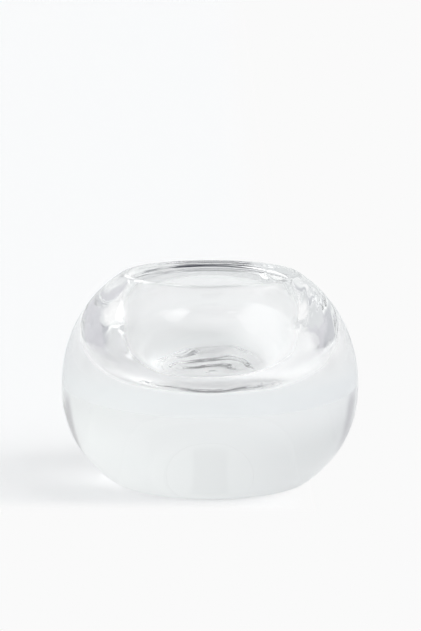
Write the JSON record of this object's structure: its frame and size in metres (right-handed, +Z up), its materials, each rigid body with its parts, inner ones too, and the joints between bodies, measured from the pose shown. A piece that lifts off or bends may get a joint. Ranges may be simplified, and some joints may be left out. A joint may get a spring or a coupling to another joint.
{
  "type": "tealight holder",
  "caption": "Squat round tealight holder of thick clear glass, with a round-cornered well open at the top and a heavy solid base with a flat foot.",
  "frame": {"origin": "centre of the foot, on the table", "axes": "+Z up along the axis of the round body, out of the mouth; X and Y are alike"},
  "size_m": [0.1, 0.1, 0.071],
  "materials": {
    "clear_glass": "clear, fire-polished, with a ground and polished foot"
  },
  "bodies": {
    "root": {"glass_body": "clear_glass"}
  },
  "joints": []
}
